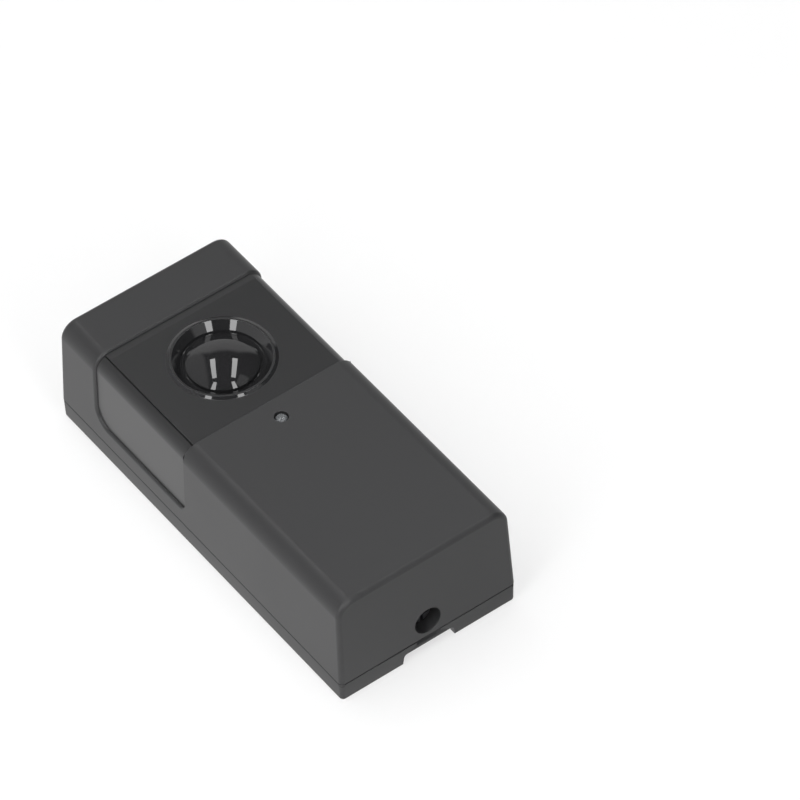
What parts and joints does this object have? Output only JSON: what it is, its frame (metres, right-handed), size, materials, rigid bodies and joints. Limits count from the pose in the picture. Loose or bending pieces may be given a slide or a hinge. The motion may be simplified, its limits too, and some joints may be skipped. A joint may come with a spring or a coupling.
{
  "type": "single beam photocell receiver",
  "caption": "Slim wall-mounted infrared beam receiver: drafted plastic cover and base, wrap-round smoked window with a moulded lens, and a board with terminals and relay inside.",
  "frame": {"origin": "middle of the back, on the wall face", "axes": "+X across the width, +Y along the length towards the lens end, +Z out of the wall through the lens"},
  "size_m": [0.05, 0.1118, 0.0316],
  "materials": {
    "housing": "fine spark-eroded grain",
    "smoked_window": "satin panel with a polished lens",
    "clear_resin": "clear moulded resin",
    "black_plastic": "matt moulded",
    "dark_resin": "moulded resin",
    "board_laminate": "lacquered laminate",
    "plated_steel": "zinc plated",
    "blackened_steel": "black zinc",
    "seal_rubber": "moulded",
    "terminal_plastic": "moulded",
    "clamp_brass": "bright",
    "relay_case": "moulded",
    "can_sleeve": "shrunk sleeve",
    "varistor_coat": "dipped resin",
    "resistor_ceramic": "glazed chip"
  },
  "bodies": {
    "root": {"base_shell": "housing", "front_cover": "housing", "lens_window": "smoked_window", "status_led": "clear_resin", "led_spacer": "black_plastic", "optic_shroud": "black_plastic", "receiver_diode": "dark_resin", "circuit_board": "board_laminate", "board_screws": "plated_steel", "cover_screw": "blackened_steel", "cover_seal": "seal_rubber", "cable_grommet": "seal_rubber", "terminal_block": "terminal_plastic", "terminal_clamps": "clamp_brass", "terminal_screws": "plated_steel", "relay": "relay_case", "storage_capacitor": "can_sleeve", "filter_capacitor": "can_sleeve", "surge_varistor": "varistor_coat", "voltage_regulator": "dark_resin", "rectifier_diodes": "dark_resin", "signal_chip": "dark_resin", "chip_resistors": "resistor_ceramic", "selector_header": "clamp_brass", "selector_jumper": "black_plastic"}
  },
  "joints": []
}
